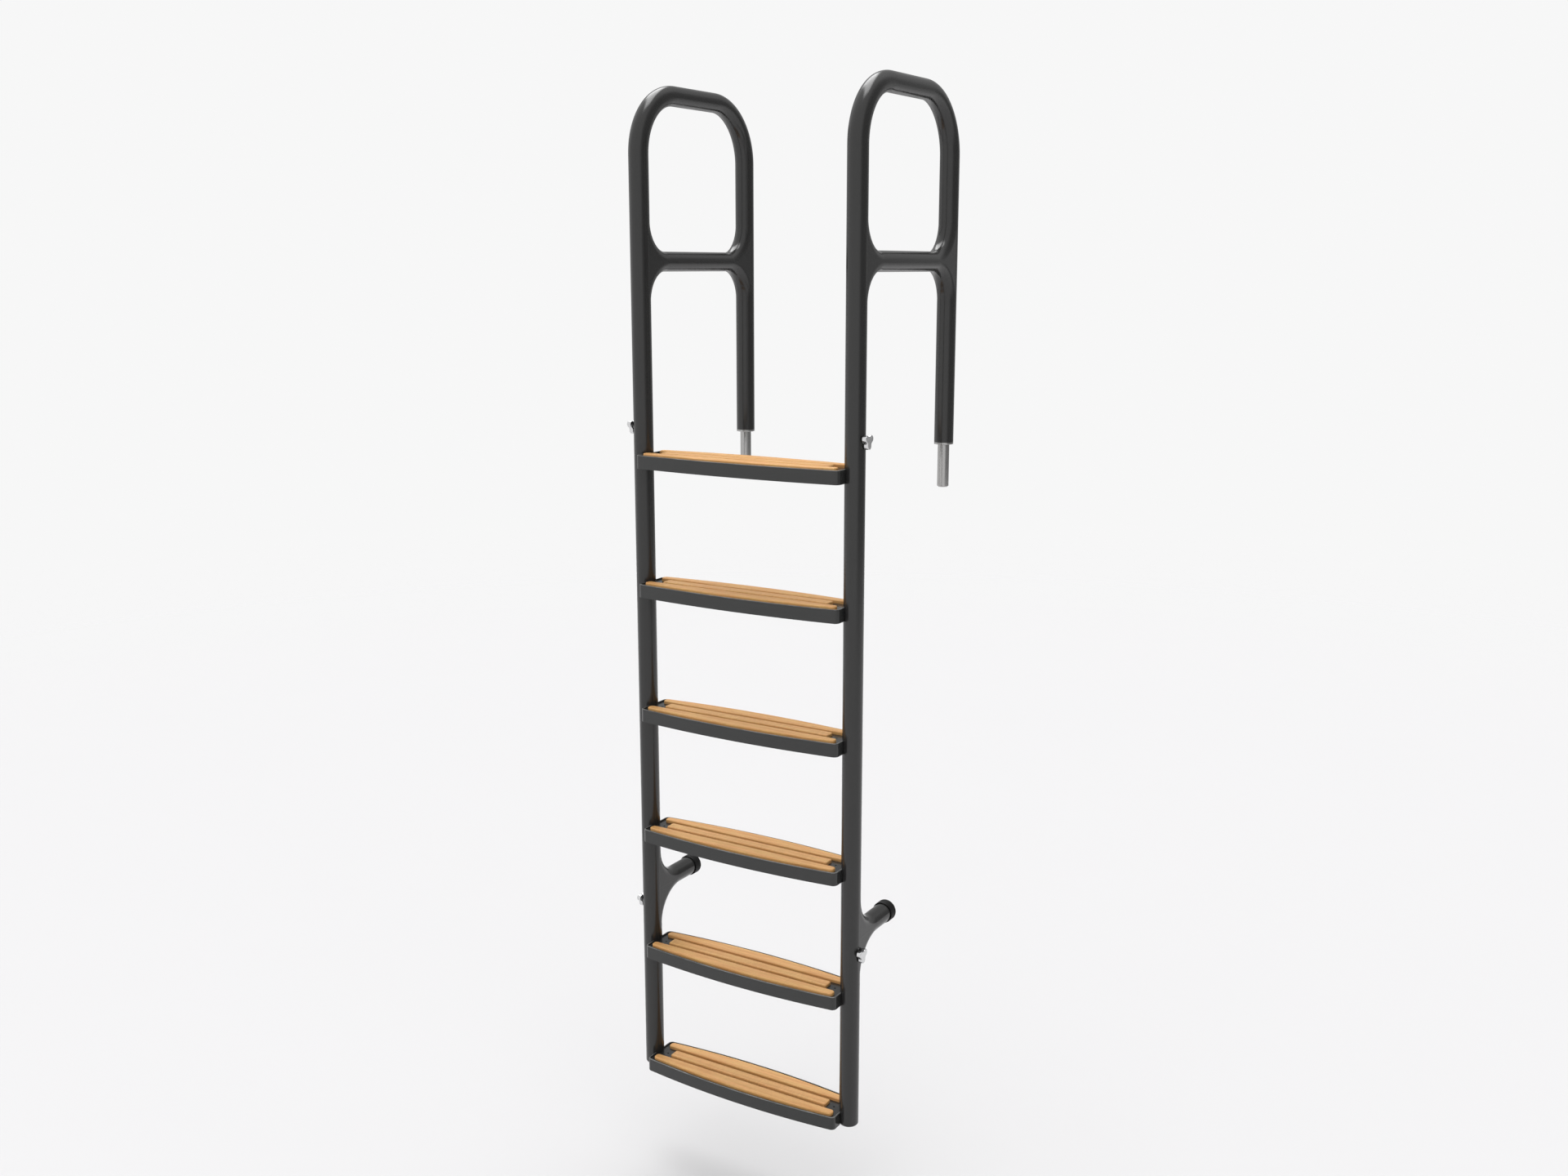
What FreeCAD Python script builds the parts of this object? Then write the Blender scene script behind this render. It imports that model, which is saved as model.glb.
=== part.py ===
import FreeCAD, Part
import math
import os

# Boat boarding ladder in three plug-together sections, in millimetres.
# +X is to the right of a climber who faces the boat, +Y points inboard, +Z is up.
# The origin lies on the deck, midway between the two deck pins.

# Tubes
TUBE_R = 20.0              # outer radius of every tube
BORE_R = 17.5              # inner radius of every tube
WELD_GAP = 0.05            # gap between a saddle or notch and the tube it is welded to
STILE_X = 246.2            # half the distance between the two stile axes
STILE_Y = -385.5           # stile axis; the deck leg's axis is at y = 0

# Handrails
TOP_Z = 698.8              # centreline of the handrail's top run
TOP_BEND_R = 120.0         # centreline radius of the two top bends
GRAB_BAR_Z = 372.8         # centreline of the crossbar between stile and leg
GRAB_BLEND_R = 80.0        # centreline radius of the crossbar's four corner blends
BLEND_INSET = 0.1          # the blends' webs lie this far inside the tube's surface

# Deck pins
FLANGE_H = 4.2
PIN_R = 12.0
PIN_LENGTH = 90.0
PIN_CHAMFER = 2.0
PIN_PLUG_LENGTH = 30.0     # part of the deck pin that is glued into the leg

# Steps
STEP_COUNT = 6
MAIN_STEP_COUNT = 4        # the other steps belong to the lower section
FIRST_STEP_Z = -9.5       # top of the first tread pan's lip
STEP_PITCH = 266.2
PAN_HEIGHT = 27.5
PAN_HALF_LENGTH = 235.0
PAN_MID_HALF_WIDTH = 58.4
PAN_END_HALF_WIDTH = 44.0
PAN_CORNER_R = 10.0
PAN_EDGE_R = 1.2
PAN_RIM = 2.6              # width of the lip round the pan's top
PAN_RECESS = 3.0           # depth of the pan's floor below the lip
PAN_WALL = 3.0
PAN_TOP = 9.0              # depth of the pan's underside below the lip
DRAIN_R = 2.0
DRAIN_X = 211.0

# Teak slats
SLAT_PROUD = 3.5           # height above the lip
POCKET_DEPTH = 6.0         # below the lip
POCKET_GAP = 0.2
MID_SLAT_HALF_LENGTH = 196.0
MID_SLAT_HALF_WIDTH = 12.0
SIDE_SLAT_HALF_LENGTH = 224.0
SIDE_SLAT_INNER_Y = 20.0
SIDE_SLAT_MID_Y = 49.7
SIDE_SLAT_END_Y = 36.4
SLAT_CORNER_R = 7.0        # side slats, in plan
MID_SLAT_CORNER_R = 4.0
SLAT_EDGE_R = 2.5

# Slat screws
SCREW_X = 150.0
SIDE_SCREW_Y = 31.0
SCREW_R = 2.0
SCREW_HEAD_R = 4.0
SCREW_HEAD_H = 2.4
SCREW_BITE = 6.0           # length of thread in the teak
SCREW_CLEARANCE = 0.05

# Plug joints between the sections
UPPER_SEAM_Z = 16.0
LOWER_SEAM_Z = -1056.0
SPIGOT_R = 17.45
SPIGOT_BORE_R = 13.5
SPIGOT_UP = 110.0          # length plugged into the section above
SPIGOT_DOWN = 60.0         # length fixed in its own stile
SPIGOT_CHAMFER = 3.0
SPIGOT_FLAT = 15.8         # distance from the axis to the flat the clamp stud bears on

# Clamp knobs; distances along the knob's axis are measured from the stile's axis
UPPER_KNOB_Z = 43.4
LOWER_KNOB_Z = -990.0
BUSH_R = 7.0
BUSH_START = 16.3
BUSH_END = 21.0
STUD_R = 4.0
STUD_CLEARANCE = 0.05
STUD_START = 15.9
STUD_END = 27.0
WASHER_R = 8.0
WASHER_START = 21.1
WASHER_END = 24.6
KNOB_START = 22.0
KNOB_END = 31.0
KNOB_RECESS_R = 8.3        # the washer sits in this recess
KNOB_RECESS_END = 24.7
KNOB_HUB_R = 9.0
KNOB_LOBE_R = 6.8
KNOB_LOBE_OFFSET = 9.4
KNOB_EDGE_R = 1.2
KNOB_LOBES = 3

# Standoffs
STANDOFF_Z = -956.0
STANDOFF_FACE_Y = -229.0   # outer face of the rubber cap
STANDOFF_UPPER_BLEND_R = 80.0
STANDOFF_LOWER_BLEND_R = 87.0
FENDER_R = 22.3
FENDER_LENGTH = 21.0
FENDER_WALL = 3.0
FENDER_EDGE_R = 1.25

# Lower ends of the stiles
STILE_FOOT_Z = -1369.0
FOOT_CAP_H = 6.0
FOOT_CAP_PLUG = 15.0
FOOT_CAP_EDGE_R = 4.5

SIDES = {"left": -1.0, "right": 1.0}
SLAT_PLACES = ("front", "middle", "rear")
X_AXIS = FreeCAD.Vector(1, 0, 0)
Y_AXIS = FreeCAD.Vector(0, 1, 0)
Z_AXIS = FreeCAD.Vector(0, 0, 1)


def vector(x, y, z):
    return FreeCAD.Vector(x, y, z)


def upright(x, y, low, high, radius):
    """Vertical cylinder."""
    return Part.makeCylinder(radius, high - low, vector(x, y, low), Z_AXIS)


def sideways(side, z, start, end, radius):
    """Cylinder on a clamp knob's axis, between two distances from the stile's axis."""
    base = vector(side * (STILE_X + start), STILE_Y, z)
    return Part.makeCylinder(radius, end - start, base, X_AXIS * side)


def fuse_all(solids):
    return solids[0].multiFuse(solids[1:]).removeSplitter()


def stile_tube(side, low, high):
    x = side * STILE_X
    outer = upright(x, STILE_Y, low, high, TUBE_R)
    return outer.cut(upright(x, STILE_Y, low, high, BORE_R))


def quarter_arc(start, centre, end):
    """Quarter circle that leaves start and reaches end round centre."""
    bulge = (start + end) * 0.5 - centre
    middle = centre + bulge * ((start - centre).Length / bulge.Length)
    return Part.Arc(start, middle, end).toShape()


# ---------------------------------------------------------------- handrails

def handrail_path(x):
    """Centreline: up the stile, over the top and down the deck leg."""
    low_bend = TOP_Z - TOP_BEND_R
    stile_low = vector(x, STILE_Y, UPPER_SEAM_Z)
    stile_high = vector(x, STILE_Y, low_bend)
    top_outer = vector(x, STILE_Y + TOP_BEND_R, TOP_Z)
    top_inner = vector(x, -TOP_BEND_R, TOP_Z)
    leg_high = vector(x, 0, low_bend)
    leg_low = vector(x, 0, FLANGE_H)
    edges = [
        Part.makeLine(stile_low, stile_high),
        quarter_arc(stile_high, vector(x, STILE_Y + TOP_BEND_R, low_bend), top_outer),
        Part.makeLine(top_outer, top_inner),
        quarter_arc(top_inner, vector(x, -TOP_BEND_R, low_bend), leg_high),
        Part.makeLine(leg_high, leg_low),
    ]
    return Part.Wire(edges)


def sweep_round(path, start, direction, radius):
    profile = Part.Wire(Part.makeCircle(radius, start, direction))
    return path.makePipeShell([profile], True, False)


def handrail(side):
    """Bent tube with a hole in its stile for the clamp bush."""
    x = side * STILE_X
    path = handrail_path(x)
    start = vector(x, STILE_Y, UPPER_SEAM_Z)
    tube = sweep_round(path, start, Z_AXIS, TUBE_R).cut(sweep_round(path, start, Z_AXIS, BORE_R))
    return tube.cut(sideways(side, UPPER_KNOB_Z, BUSH_START, BUSH_END, BUSH_R))


def corner_blend(x, corner_y, corner_z, y_sign, z_sign, blend_r):
    """Web that fills the corner between an upright and a level tube, with a round inner edge."""
    thickness = TUBE_R - BLEND_INSET
    corner = vector(x, corner_y, corner_z)
    on_upright = corner + Z_AXIS * (z_sign * blend_r)
    on_level = corner + Y_AXIS * (y_sign * blend_r)
    centre = on_upright + Y_AXIS * (y_sign * blend_r)
    arc = quarter_arc(on_upright, centre, on_level)
    outline = Part.Wire([Part.makeLine(corner, on_upright), arc, Part.makeLine(on_level, corner)])
    web = Part.Face(outline).extrude(X_AXIS * (2 * thickness))
    web.translate(X_AXIS * -thickness)
    edge = sweep_round(Part.Wire(arc), on_upright, Z_AXIS, thickness)
    return web.fuse(edge)


def grab_bar(side):
    """Crossbar of a handrail with its four corner blends, saddled to the tube."""
    x = side * STILE_X
    solids = [Part.makeCylinder(TUBE_R, -STILE_Y, vector(x, STILE_Y, GRAB_BAR_Z), Y_AXIS)]
    for corner_y, y_sign in ((STILE_Y, 1), (0.0, -1)):
        for z_sign in (-1, 1):
            solids.append(corner_blend(x, corner_y, GRAB_BAR_Z, y_sign, z_sign, GRAB_BLEND_R))
    bar = fuse_all(solids)
    bar = bar.cut(Part.makeCylinder(BORE_R, -STILE_Y, vector(x, STILE_Y, GRAB_BAR_Z), Y_AXIS))
    reach = GRAB_BLEND_R + 2 * TUBE_R
    for tube_y in (STILE_Y, 0.0):
        bar = bar.cut(upright(x, tube_y, GRAB_BAR_Z - reach, GRAB_BAR_Z + reach, TUBE_R + WELD_GAP))
    return bar


def deck_pin(side):
    """Turned pin with the flange that stands on the deck and a plug for the leg."""
    x = side * STILE_X
    pin = upright(x, 0, -PIN_LENGTH, 0, PIN_R)
    end_edges = [edge for edge in pin.Edges if edge.CenterOfMass.z < -PIN_LENGTH + 1 and edge.Closed]
    pin = pin.makeChamfer(PIN_CHAMFER, end_edges)
    flange = upright(x, 0, 0, FLANGE_H, TUBE_R)
    plug = upright(x, 0, FLANGE_H, FLANGE_H + PIN_PLUG_LENGTH, BORE_R - WELD_GAP)
    return fuse_all([pin, flange, plug])


# -------------------------------------------------------------- plug joints

def spigot(side, seam_z):
    """Tube that plugs into the section above, with a flat for the clamp stud."""
    x = side * STILE_X
    top = seam_z + SPIGOT_UP
    body = upright(x, STILE_Y, seam_z - SPIGOT_DOWN, top, SPIGOT_R)
    top_edges = [edge for edge in body.Edges if edge.CenterOfMass.z > top - 1 and edge.Closed]
    body = body.makeChamfer(SPIGOT_CHAMFER, top_edges)
    body = body.cut(upright(x, STILE_Y, seam_z - SPIGOT_DOWN, top, SPIGOT_BORE_R))
    corner_x = x + SPIGOT_FLAT if side > 0 else x - SPIGOT_FLAT - TUBE_R
    flat_cut = Part.makeBox(TUBE_R, 2 * TUBE_R, SPIGOT_UP, vector(corner_x, STILE_Y - TUBE_R, seam_z))
    return body.cut(flat_cut)


def clamp_bush(side, z):
    """Threaded bush set in the outer wall of the stile."""
    bush = sideways(side, z, BUSH_START, BUSH_END, BUSH_R - WELD_GAP)
    return bush.cut(sideways(side, z, BUSH_START, BUSH_END, STUD_R + STUD_CLEARANCE))


def clamp_washer(side, z):
    washer = sideways(side, z, WASHER_START, WASHER_END, WASHER_R)
    return washer.cut(sideways(side, z, WASHER_START, WASHER_END, STUD_R + STUD_CLEARANCE))


def clamp_stud(side, z):
    return sideways(side, z, STUD_START, STUD_END, STUD_R)


def clamp_knob(side, z):
    """Three-lobed hand knob, with one lobe hanging straight down."""
    solids = [sideways(side, z, KNOB_START, KNOB_END, KNOB_HUB_R)]
    for index in range(KNOB_LOBES):
        angle = math.radians(-90 + index * 360 / KNOB_LOBES)
        lobe = sideways(side, z, KNOB_START, KNOB_END, KNOB_LOBE_R)
        lobe.translate(vector(0, math.cos(angle), math.sin(angle)) * KNOB_LOBE_OFFSET)
        solids.append(lobe)
    knob = fuse_all(solids)
    face_x = side * (STILE_X + KNOB_END)
    rim = [edge for edge in knob.Edges if edge.BoundBox.XLength < 1 and abs(edge.CenterOfMass.x - face_x) < 1]
    knob = knob.makeFillet(KNOB_EDGE_R, rim)
    knob = knob.cut(sideways(side, z, KNOB_START, KNOB_RECESS_END, KNOB_RECESS_R))
    return knob.cut(sideways(side, z, KNOB_START, STUD_END, STUD_R))


# -------------------------------------------------------------------- steps

def bowed_outline(half_length, mid_half_width, end_half_width, z):
    """Closed outline with straight ends and bowed front and back edges."""
    corners = [vector(x, y, z) for x, y in (
        (-half_length, -end_half_width), (half_length, -end_half_width),
        (half_length, end_half_width), (-half_length, end_half_width))]
    front = Part.Arc(corners[0], vector(0, -mid_half_width, z), corners[1]).toShape()
    back = Part.Arc(corners[2], vector(0, mid_half_width, z), corners[3]).toShape()
    right = Part.makeLine(corners[1], corners[2])
    left = Part.makeLine(corners[3], corners[0])
    return Part.Wire([front, right, back, left])


def rounded_prism(outline, height, corner_r, edge_r):
    """Extrude an outline upwards, round its upright corners and, if asked, its top edge."""
    solid = Part.Face(outline).extrude(Z_AXIS * height)
    uprights = [edge for edge in solid.Edges if edge.BoundBox.ZLength > height / 2]
    solid = solid.makeFillet(corner_r, uprights)
    if edge_r > 0:
        top = solid.BoundBox.ZMax
        rim = [edge for edge in solid.Edges if edge.BoundBox.ZMin > top - edge_r / 2]
        solid = solid.makeFillet(edge_r, rim)
    return solid


def mid_slat_outline(grow, z):
    half_length = MID_SLAT_HALF_LENGTH + grow
    half_width = MID_SLAT_HALF_WIDTH + grow
    points = [vector(x, y, z) for x, y in (
        (-half_length, -half_width), (half_length, -half_width),
        (half_length, half_width), (-half_length, half_width), (-half_length, -half_width))]
    return Part.makePolygon(points)


def side_slat_outline(grow, sign, z):
    """Outline of a front (sign -1) or rear (sign +1) slat: straight inside, bowed outside."""
    half_length = SIDE_SLAT_HALF_LENGTH + grow
    inner = sign * (SIDE_SLAT_INNER_Y - grow)
    outer_end = sign * (SIDE_SLAT_END_Y + grow)
    outer_mid = sign * (SIDE_SLAT_MID_Y + grow)
    inner_left = vector(-half_length, inner, z)
    inner_right = vector(half_length, inner, z)
    outer_left = vector(-half_length, outer_end, z)
    outer_right = vector(half_length, outer_end, z)
    bow = Part.Arc(outer_right, vector(0, outer_mid, z), outer_left).toShape()
    return Part.Wire([
        Part.makeLine(inner_left, inner_right),
        Part.makeLine(inner_right, outer_right),
        bow,
        Part.makeLine(outer_left, inner_left),
    ])


def slat_prism(place, grow, height, edge_r):
    """Slat or, with grow above zero, the room it takes in its pocket; it stands on the pocket's floor."""
    if place == "middle":
        return rounded_prism(mid_slat_outline(grow, -POCKET_DEPTH), height, MID_SLAT_CORNER_R + grow, edge_r)
    sign = -1 if place == "front" else 1
    outline = side_slat_outline(grow, sign, -POCKET_DEPTH)
    return rounded_prism(outline, height, SLAT_CORNER_R + grow, edge_r)


def screw_points():
    return [(x, y) for x in (-SCREW_X, SCREW_X) for y in (-SIDE_SCREW_Y, 0.0, SIDE_SCREW_Y)]


def at_step(solid, number):
    """Move a solid made about the step's centre, with the pan's lip at z = 0, to its step."""
    solid.translate(vector(0, STILE_Y, FIRST_STEP_Z - (number - 1) * STEP_PITCH))
    return solid


def tread_pan(number):
    """Skirted pan with a lip round its top, notched round the stiles and pocketed for three slats."""
    outline = bowed_outline(PAN_HALF_LENGTH, PAN_MID_HALF_WIDTH, PAN_END_HALF_WIDTH, -PAN_HEIGHT)
    pan = rounded_prism(outline, PAN_HEIGHT, PAN_CORNER_R, PAN_EDGE_R)
    inner = bowed_outline(PAN_HALF_LENGTH - PAN_WALL, PAN_MID_HALF_WIDTH - PAN_WALL,
                          PAN_END_HALF_WIDTH - PAN_WALL, -PAN_HEIGHT)
    pan = pan.cut(rounded_prism(inner, PAN_HEIGHT - PAN_TOP, PAN_CORNER_R - PAN_WALL, 0))
    recess = bowed_outline(PAN_HALF_LENGTH - PAN_RIM, PAN_MID_HALF_WIDTH - PAN_RIM,
                           PAN_END_HALF_WIDTH - PAN_RIM, -PAN_RECESS)
    pan = pan.cut(rounded_prism(recess, PAN_RECESS, PAN_CORNER_R - PAN_RIM, 0))
    for place in SLAT_PLACES:
        pan = pan.cut(slat_prism(place, POCKET_GAP, POCKET_DEPTH + SLAT_PROUD, 0))
    for x, y in screw_points():
        pan = pan.cut(upright(x, y, -PAN_TOP, 0, SCREW_R + SCREW_CLEARANCE))
    for side in SIDES.values():
        pan = pan.cut(upright(side * DRAIN_X, 0, -PAN_TOP, 0, DRAIN_R))
        pan = pan.cut(upright(side * STILE_X, 0, -PAN_HEIGHT, 0, TUBE_R + WELD_GAP))
    return at_step(pan, number)


def slat(number, place):
    solid = slat_prism(place, 0, POCKET_DEPTH + SLAT_PROUD, SLAT_EDGE_R)
    hole_top = SCREW_BITE + SCREW_CLEARANCE - POCKET_DEPTH
    for x, y in screw_points():
        solid = solid.cut(upright(x, y, -POCKET_DEPTH, hole_top, SCREW_R + SCREW_CLEARANCE))
    return at_step(solid, number)


def slat_screw(number, x, y):
    head = upright(x, y, -PAN_TOP - SCREW_HEAD_H, -PAN_TOP, SCREW_HEAD_R)
    shank = upright(x, y, -PAN_TOP, SCREW_BITE - POCKET_DEPTH, SCREW_R)
    return at_step(head.fuse(shank), number)


def slat_screws(numbers):
    return Part.Compound([slat_screw(number, x, y) for number in numbers for x, y in screw_points()])


# ------------------------------------------------------- standoffs and feet

def standoff(side):
    """Level tube towards the hull, with a web above it and a larger one below, past the bush."""
    x = side * STILE_X
    tube_end = STANDOFF_FACE_Y - FENDER_WALL
    solids = [
        Part.makeCylinder(TUBE_R, tube_end - STILE_Y, vector(x, STILE_Y, STANDOFF_Z), Y_AXIS),
        corner_blend(x, STILE_Y, STANDOFF_Z, 1, 1, STANDOFF_UPPER_BLEND_R),
        corner_blend(x, STILE_Y, STANDOFF_Z, 1, -1, STANDOFF_LOWER_BLEND_R),
    ]
    arm = fuse_all(solids)
    arm = arm.cut(Part.makeCylinder(BORE_R, tube_end - STILE_Y, vector(x, STILE_Y, STANDOFF_Z), Y_AXIS))
    reach = STANDOFF_LOWER_BLEND_R + 2 * TUBE_R
    arm = arm.cut(upright(x, STILE_Y, STANDOFF_Z - reach, STANDOFF_Z + reach, TUBE_R + WELD_GAP))
    return arm.cut(sideways(side, LOWER_KNOB_Z, BUSH_START, BUSH_END, BUSH_R))


def fender_cap(side):
    """Rubber cap over the end of a standoff."""
    x = side * STILE_X
    start = vector(x, STANDOFF_FACE_Y - FENDER_LENGTH, STANDOFF_Z)
    cap = Part.makeCylinder(FENDER_R, FENDER_LENGTH, start, Y_AXIS)
    face_edges = [edge for edge in cap.Edges if edge.Closed and edge.BoundBox.YLength < 1]
    cap = cap.makeFillet(FENDER_EDGE_R, face_edges)
    return cap.cut(Part.makeCylinder(TUBE_R + WELD_GAP, FENDER_LENGTH - FENDER_WALL, start, Y_AXIS))


def foot_cap(side):
    """Plug that closes the lower end of a stile."""
    x = side * STILE_X
    disc = upright(x, STILE_Y, STILE_FOOT_Z, STILE_FOOT_Z + FOOT_CAP_H, TUBE_R)
    low_edges = [edge for edge in disc.Edges if edge.Closed and edge.CenterOfMass.z < STILE_FOOT_Z + 1]
    disc = disc.makeFillet(FOOT_CAP_EDGE_R, low_edges)
    plug_low = STILE_FOOT_Z + FOOT_CAP_H
    return disc.fuse(upright(x, STILE_Y, plug_low, plug_low + FOOT_CAP_PLUG, BORE_R - WELD_GAP))


def main_stile(side):
    tube = stile_tube(side, LOWER_SEAM_Z, UPPER_SEAM_Z)
    return tube.cut(sideways(side, LOWER_KNOB_Z, BUSH_START, BUSH_END, BUSH_R))


def lower_stile(side):
    return stile_tube(side, STILE_FOOT_Z + FOOT_CAP_H, LOWER_SEAM_Z)


# ----------------------------------------------------------------- assembly

def side_nodes(name, side):
    """Every node that exists once on the left and once on the right."""
    nodes = {
        "handrail": handrail(side),
        "grab_bar": grab_bar(side),
        "deck_pin": deck_pin(side),
        "main_stile": main_stile(side),
        "lower_stile": lower_stile(side),
        "standoff": standoff(side),
        "fender_cap": fender_cap(side),
        "foot_cap": foot_cap(side),
    }
    for level, z, seam_z in (("upper", UPPER_KNOB_Z, UPPER_SEAM_Z), ("lower", LOWER_KNOB_Z, LOWER_SEAM_Z)):
        nodes[f"{level}_spigot"] = spigot(side, seam_z)
        nodes[f"{level}_washer"] = clamp_washer(side, z)
        nodes[f"{level}_stud"] = clamp_stud(side, z)
        nodes[f"{level}_knob"] = clamp_knob(side, z)
    return {f"{node}_{name}": shape for node, shape in nodes.items()}


def build():
    nodes = {}
    for name, side in SIDES.items():
        nodes.update(side_nodes(name, side))
    nodes["upper_bushes"] = Part.Compound([clamp_bush(side, UPPER_KNOB_Z) for side in SIDES.values()])
    nodes["lower_bushes"] = Part.Compound([clamp_bush(side, LOWER_KNOB_Z) for side in SIDES.values()])
    for number in range(1, STEP_COUNT + 1):
        nodes[f"tread_pan_{number}"] = tread_pan(number)
        for place in SLAT_PLACES:
            nodes[f"slat_{number}_{place}"] = slat(number, place)
    nodes["main_slat_screws"] = slat_screws(range(1, MAIN_STEP_COUNT + 1))
    nodes["lower_slat_screws"] = slat_screws(range(MAIN_STEP_COUNT + 1, STEP_COUNT + 1))
    return nodes


os.makedirs("parts", exist_ok=True)
for node_name, node_shape in build().items():
    node_shape.exportStep(f"parts/{node_name}.step")
    print(f"{node_name}: {len(node_shape.Solids)} solid(s), {node_shape.Volume:.0f} mm3, {node_shape.isValid()}")
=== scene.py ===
import math

import bmesh
import bpy
import numpy as np
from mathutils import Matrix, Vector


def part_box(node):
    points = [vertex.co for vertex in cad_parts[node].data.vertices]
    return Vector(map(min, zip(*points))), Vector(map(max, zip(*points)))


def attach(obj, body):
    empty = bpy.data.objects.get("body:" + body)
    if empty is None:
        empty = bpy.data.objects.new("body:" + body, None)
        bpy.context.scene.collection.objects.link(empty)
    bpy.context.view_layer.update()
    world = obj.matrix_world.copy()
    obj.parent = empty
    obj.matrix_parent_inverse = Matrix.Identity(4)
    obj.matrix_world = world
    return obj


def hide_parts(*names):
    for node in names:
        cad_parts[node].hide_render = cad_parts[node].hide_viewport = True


# Boat boarding ladder, in metres: +X to the right of a climber who faces the boat, +Y inboard, +Z up.

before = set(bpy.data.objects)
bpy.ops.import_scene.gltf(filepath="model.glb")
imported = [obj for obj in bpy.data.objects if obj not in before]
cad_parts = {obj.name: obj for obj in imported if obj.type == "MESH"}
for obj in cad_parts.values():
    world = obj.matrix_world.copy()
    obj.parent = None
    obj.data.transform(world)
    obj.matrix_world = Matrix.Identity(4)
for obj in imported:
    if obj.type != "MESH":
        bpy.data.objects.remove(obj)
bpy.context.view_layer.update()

MM = 0.001
SIDES = {"left": -1.0, "right": 1.0}
STEPS = range(1, 7)
SLAT_PLACES = ("front", "middle", "rear")
RING_POINTS = 96             # points round a tube


# ------------------------------------------------------------ frame measures

def low(node):
    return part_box(node)[0]


def high(node):
    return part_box(node)[1]


def middle(node):
    corner_low, corner_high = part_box(node)
    return (corner_low + corner_high) / 2


# ---------------------------------------------------------------- node trees

class Tree:
    """Short ways to add nodes to a material's or the world's tree."""

    def __init__(self, owner):
        owner.use_nodes = True
        self.tree = owner.node_tree
        self.tree.nodes.clear()

    def node(self, kind, inputs=None, **settings):
        made = self.tree.nodes.new("ShaderNode" + kind)
        for key, value in settings.items():
            setattr(made, key, value)
        for key, value in (inputs or {}).items():
            self.feed(made.inputs[key], value)
        return made

    def feed(self, socket, value):
        if isinstance(value, bpy.types.NodeSocket):
            self.tree.links.new(value, socket)
        else:
            socket.default_value = value

    def math(self, operation, first, second=0.0, clamp=False):
        made = self.node("Math", {0: first, 1: second}, operation=operation, use_clamp=clamp)
        return made.outputs[0]

    def ramp(self, value, low_from, high_from, low_to=0.0, high_to=1.0, smooth=False):
        kind = "SMOOTHSTEP" if smooth else "LINEAR"
        made = self.node("MapRange", {0: value, 1: low_from, 2: high_from, 3: low_to, 4: high_to},
                         interpolation_type=kind)
        return made.outputs[0]

    def dot(self, vector, direction):
        made = self.node("VectorMath", {0: vector, 1: tuple(direction)}, operation="DOT_PRODUCT")
        return made.outputs["Value"]

    def scaled(self, vector, scale):
        return self.node("VectorMath", {0: vector, 1: scale}, operation="MULTIPLY").outputs[0]

    def added(self, first, second):
        return self.node("VectorMath", {0: first, 1: second}, operation="ADD").outputs[0]

    def noise(self, vector, scale, detail=2.0, roughness=0.5):
        made = self.node("TexNoise", {"Vector": vector, "Scale": scale, "Detail": detail,
                                      "Roughness": roughness})
        return made.outputs["Fac"]

    def mix(self, factor, first, second, blend="MIX"):
        made = self.node("Mix", {0: factor, 6: first, 7: second}, data_type="RGBA", blend_type=blend)
        return made.outputs[2]

    def bump(self, height, strength, distance, normal=None):
        inputs = {"Height": height, "Strength": strength, "Distance": distance}
        if normal is not None:
            inputs["Normal"] = normal
        return self.node("Bump", inputs).outputs[0]


def material(name, **constants):
    """New material with its tree and shader; constants go straight onto the shader's sockets."""
    made = bpy.data.materials.new(name)
    tree = Tree(made)
    shader = tree.node("BsdfPrincipled")
    for key, value in constants.items():
        shader.inputs[key.replace("_", " ")].default_value = value
    output = tree.node("OutputMaterial")
    tree.tree.links.new(shader.outputs[0], output.inputs[0])
    coords = tree.node("TexCoord").outputs["Object"]
    return made, tree, shader, coords


def grey(value):
    return (value, value, value, 1.0)


# ----------------------------------------------------------------- materials

def coated_tube():
    """Satin anthracite coat on the tubes: fine orange peel and slightly uneven gloss."""
    made, tree, shader, coords = material("anthracite_coat", IOR=1.5)
    cloud = tree.noise(coords, 9.0, 3.0)
    fine = tree.noise(coords, 160.0, 4.0)
    tree.feed(shader.inputs["Base Color"], tree.mix(cloud, (0.0195, 0.0195, 0.0192, 1),
                                                    (0.0245, 0.0242, 0.0240, 1)))
    rough = tree.math("ADD", tree.ramp(cloud, 0.3, 0.7, 0.16, 0.20),
                      tree.ramp(fine, 0.3, 0.7, -0.015, 0.02))
    tree.feed(shader.inputs["Roughness"], rough)
    peel = tree.noise(coords, 700.0, 2.0)
    tree.feed(shader.inputs["Normal"], tree.bump(peel, 0.02, 0.1 * MM))
    return made


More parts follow.
